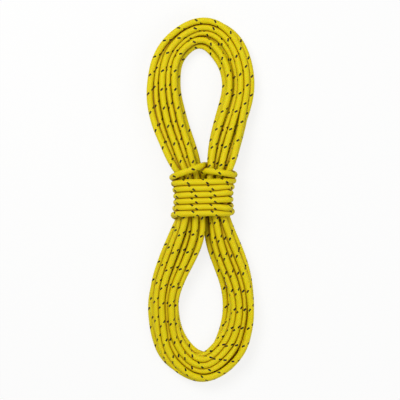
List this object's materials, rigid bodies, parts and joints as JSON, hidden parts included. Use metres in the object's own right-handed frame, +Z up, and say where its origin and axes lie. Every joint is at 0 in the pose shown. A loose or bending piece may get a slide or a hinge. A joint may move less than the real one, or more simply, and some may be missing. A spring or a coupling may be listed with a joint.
{
  "type": "hanked accessory cord",
  "caption": "Kernmantle accessory cord stored as a hank: long loops drawn in at the waist, bound there by close turns of the cord's own end, which is locked through the eye above.",
  "frame": {"origin": "on the surface that the hank lies on, below the middle of its bounding box", "axes": "+Y along the hank towards the locked eye, +X to the right and +Z up out of the hank's face, away from the surface"},
  "size_m": [0.1046, 0.353, 0.0387],
  "materials": {
    "sheath": "braided yarn, satin",
    "core": "bundled filaments",
    "melted_tip": "melted, smooth"
  },
  "bodies": {
    "root": {"hanked_cord": "sheath", "tail_sheath": "sheath", "tail_core": "core", "start_seal": "melted_tip", "tail_seal": "melted_tip"}
  },
  "joints": []
}
